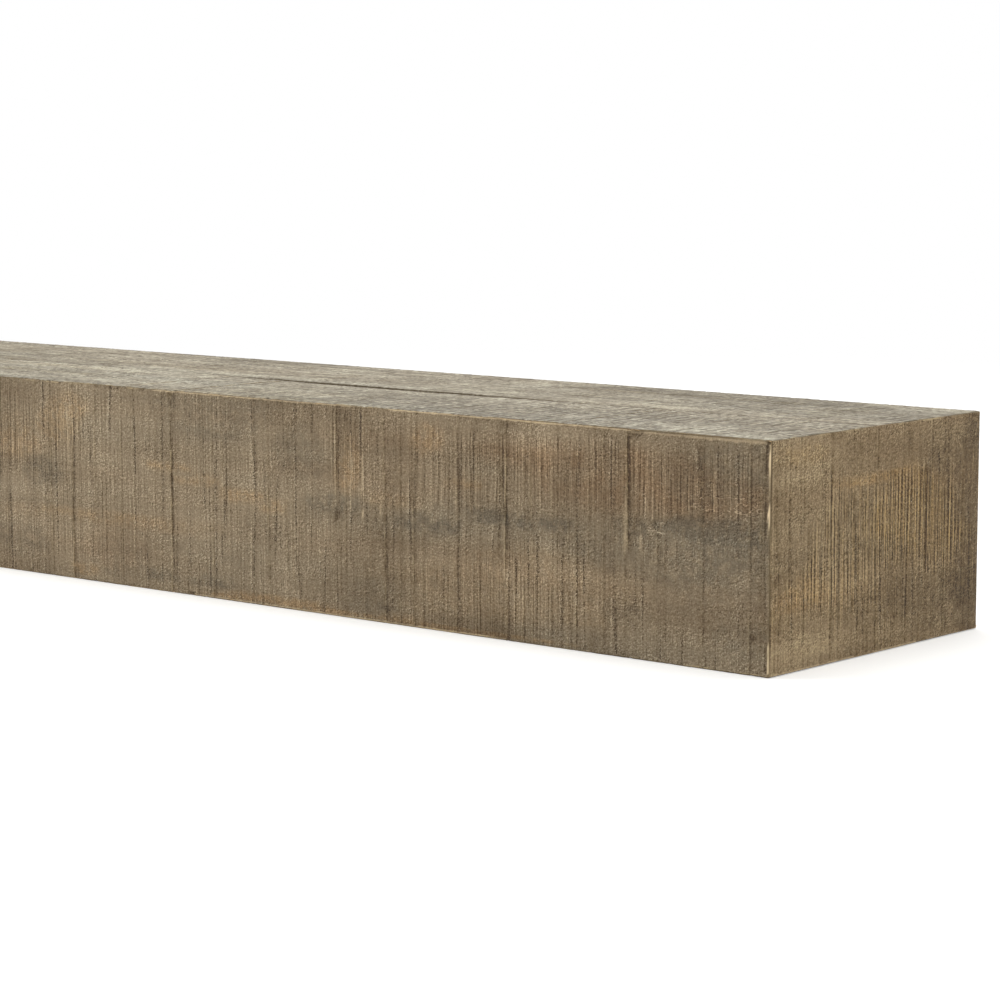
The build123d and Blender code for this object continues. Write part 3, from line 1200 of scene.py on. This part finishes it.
topRearBoard = {
    **topFrontBoard,
    **unmarked,
    "name": "topRearBoard",
    "node": "top_rear_board",
    "seed": 37,
    "sides": sidesWith(near=glueEdge, far=wallEdge),
    "saw": {
        **topSaw,
        "depth": 0.16 * mm,
        "strongDepth": 0.25 * mm,
        "strong": [(85, 0.5, 0, 120), (190, 0.4, 0, 120), (310, 0.5, 0, 120), (415, 0.7, 40, 110)],
    },
    "finish": {
        **stainAndSheenTop,
        "layers": {
            "bands": (2.0, 66, 4, 0.55, 0.36),
            "blotches": (5, 16, 4, 0.55, 0.36),
            "strokes": (190, 34, 3, 0.55, 0.35),
            "streaks": (26, 110, 3, 0.55, 0.95),
            "grit": (560, 520, 2, 0.55, 0.5),
            "fuzz": (330, 260, 3, 0.7, 1.1),
        },
        "lean": 1.2,
        "stipple": (420, 330, 0.3),
        "scores": {"along": 260, "across": 20, "least": 0.05, "most": 0.5, "hand": 0.5, "relief": 1.0},
    },
    # distances across are from the wall side
    "patches": {
        "charcoal": [
            (64, 66, 26, 50, 0.75), (192, 5, 220, 11, 0.55), (180, 22, 240, 44, 0.95),
            (630, 14, 120, 44, 0.8), (615, 70, 110, 36, 0.35), (160, 40, 160, 50, 0.4),
            (600, 44, 100, 60, 0.3), (535, 20, 170, 8, 0.6), (425, 74, 22, 48, 0.35),
            (128, 70, 56, 18, 0.35), (238, 74, 56, 28, 0.25), (20, 55, 36, 20, 0.3),
        ],
        "warm": [(200, 35, 200, 9, 0.7), (64, 66, 30, 56, 0.4)],
        "pale": [
            (610, 108, 130, 26, 0.8), (480, 106, 110, 26, 0.5), (350, 104, 170, 34, 0.4),
            (210, 104, 110, 30, 0.3), (36, 10, 90, 30, 0.3), (350, 30, 80, 60, 0.6),
            (480, 30, 90, 60, 0.3), (338, 88, 66, 36, 0.5), (590, 60, 150, 60, 0.35),
            (160, 98, 120, 24, 0.3),
        ],
        "ribbed": [(60, 60, 130, 110, 0.5)],
    },
    "scatter": {"seed": 31, "kinds": stains, "area": (1524, 120), "count": 24, "start": 640},
    "glue": [("near", 228, 490, 1.3, 0.7)],
    "dip": None,
    "joint": {"middle": 357 * mm, "length": 290 * mm, "width": 2.2 * mm, "depth": 12 * mm},
}
makeBoard(topRearBoard)

bottomBoard = {
    **frontBoard,
    **unmarked,
    "name": "bottomBoard",
    "node": "bottom_board",
    "across": (0, -1, 0),
    "seed": 41,
    "sides": sidesWith(near=wallEdge),
    "mesh": {"columnPitch": 1.5 * mm, "rowPitch": 12 * mm, "innerRows": 3},
    "scatter": {"seed": 41, "kinds": ("charcoal", "warm"), "area": (1524, 229), "count": 40},
}
makeBoard(bottomBoard)

stainEnd = {
    **stainFront,
    "tones": woodTones((52, 36, 18), (105, 86, 58), (135, 115, 86), (156, 136, 105), (200, 180, 140)),
    "charcoal": (0.59, 0.56, 0.53, 1),
    "red": (1.08, 0.96, 0.90, 1),
    "grey": (0.78, 0.82, 0.88, 1),
    "warm": (1.34, 1.22, 1.00, 1),
    "goldHighlightColour": tint(190, 158, 104),
    "ribs": {"along": 84, "across": 9, "wander": 10.0, "strength": 0.2, "hand": 0.8},
    "scores": {"along": 340, "across": 10, "least": 0.08, "most": 0.5, "hand": 0.9, "relief": 1.5},
    "crestHighlight": 0.28,
    "furrowShade": 0.47,
    "goldHighlightShare": 0.4,
    "lean": 1.45,
    "stipple": (800, 1150, 0.26),
}

rightEndBoard = {
    **frontBoard,
    **unmarked,
    "name": "rightEndBoard",
    "node": "right_end_board",
    "along": (0, 1, 0),
    "across": (0, 0, 1),
    "seed": 53,
    "sides": sidesWith(right=wallEdge),
    "mesh": {"columnPitch": 0.75 * mm, "rowPitch": 3.2 * mm, "innerRows": 3},
    "saw": {
        **frontBoard["saw"],
        "pitch": 4.8 * mm,
        "depth": 0.38 * mm,
        "litWidth": 3.5 * mm,
        "strong": [
            (21, 0.5, 20, 130), (64, 0.8, 25, 95), (118, 0.45, -20, 150), (166, 0.65, -20, 110),
            (199, 0.3, 0, 60),
        ],
        "strongDepth": 0.5 * mm,
    },
    "finish": stainEnd,
    # here the right-hand end of the board is the wall side
    "patches": {
        "charcoal": [
            (12, 30, 24, 22, 0.55), (13, 110, 26, 46, 0.65), (9, 78, 40, 150, 1.15),
            (48, 60, 40, 74, 0.55), (60, 124, 60, 24, 0.25), (146, 98, 40, 26, 0.25),
            (112, 56, 90, 50, 0.3), (184, 66, 50, 50, 0.25), (184, 126, 50, 26, 0.25),
            (146, 40, 34, 26, 0.35), (112, 70, 40, 30, 0.28), (30, 40, 60, 40, 0.2),
            (34, 129, 60, 12, 0.45), (76, 105, 90, 22, 0.35), (144, 62, 46, 44, 0.15),
            (162, 50, 7, 20, 0.5), (60, 18, 90, 14, 0.2),
        ],
        "warm": [
            (72, 60, 92, 50, 0.4), (128, 32, 100, 4, 0.7), (200, 95, 54, 18, 0.4), (198, 12, 56, 12, 0.3),
        ],
        "pale": [
            (200, 14, 90, 32, 0.55), (150, 66, 110, 70, 0.42), (206, 128, 70, 26, 0.5),
            (12, 100, 44, 44, -0.3), (184, 122, 84, 28, 0.3),
        ],
        "ribbed": [
            (71, 62, 104, 56, 1.0), (150, 74, 104, 70, 0.75), (200, 104, 56, 16, 0.15),
            (206, 36, 56, 70, -0.8), (110, 12, 240, 26, -0.85), (40, 126, 90, 22, -0.6),
            (190, 130, 90, 20, -0.4),
        ],
    },
    "slivers": [(164, 30, 100, 1.2, 0.25)],
    "chips": [(203, 19, 4, 5, 0.6)],
    "rubbed": [("near", 70, 120, 1.6, 0.45), ("near", 140, 226, 1.6, 0.45), ("near", 20, 60, 1.4, 0.3)],
    "glue": [("left", 0, 60, 0.9, 0.8)],
}
makeBoard(rightEndBoard)

leftEndBoard = {
    **rightEndBoard,
    **unmarked,
    "name": "leftEndBoard",
    "node": "left_end_board",
    "along": (0, -1, 0),
    "seed": 67,
    "sides": sidesWith(left=wallEdge),
    "scatter": {"seed": 67, "kinds": ("charcoal", "warm"), "area": (229, 140), "count": 8},
    "chips": nicks(9, 0, 229, 0.6, 8),
    "rubbed": [("right", 20, 90, 1.5, 0.4), ("near", 30, 160, 1.4, 0.3)],
    "glue": [("right", 0, 140, 0.6, 0.6)],
}
makeBoard(leftEndBoard)


# Hanging cleat: a planed strip glued under the top, bevelled to drop behind a rail on the wall
cleat = {
    "name": "hangingCleat",
    "node": "hanging_cleat",
    "along": (1, 0, 0),
    "across": (0, 0, 1),
    "out": (0, -1, 0),
    "offset": (3.1, 0.7, 0),
    "easedEdge": 0.8 * mm,
}


def makeCleat(cleat):
    low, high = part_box(cleat["node"])
    size, centre = high - low, (low + high) / 2
    bm = bmesh.new()
    bmesh.ops.create_cube(bm, size=1.0, matrix=Matrix.Translation(centre) @ Matrix.Diagonal((*size, 1)))
    sawOff(bm, (0, high.y, low.z), (0, -1, -1))  # from the bevel's long point, against the wall
    bmesh.ops.recalc_face_normals(bm, faces=bm.faces)
    eased = bmesh.ops.bevel(
        bm, geom=bm.edges[:], offset=cleat["easedEdge"], segments=2, profile=0.5, affect="EDGES", material=-1
    )
    for f in eased["faces"]:
        f.smooth = True
    piece = offTheBench(bm, cleat["name"])
    piece.data.materials.append(barePine(cleat, bareLook))
    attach(piece, "root")
    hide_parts(cleat["node"])
    print("hangingCleat: planed and bevelled")


makeCleat(cleat)
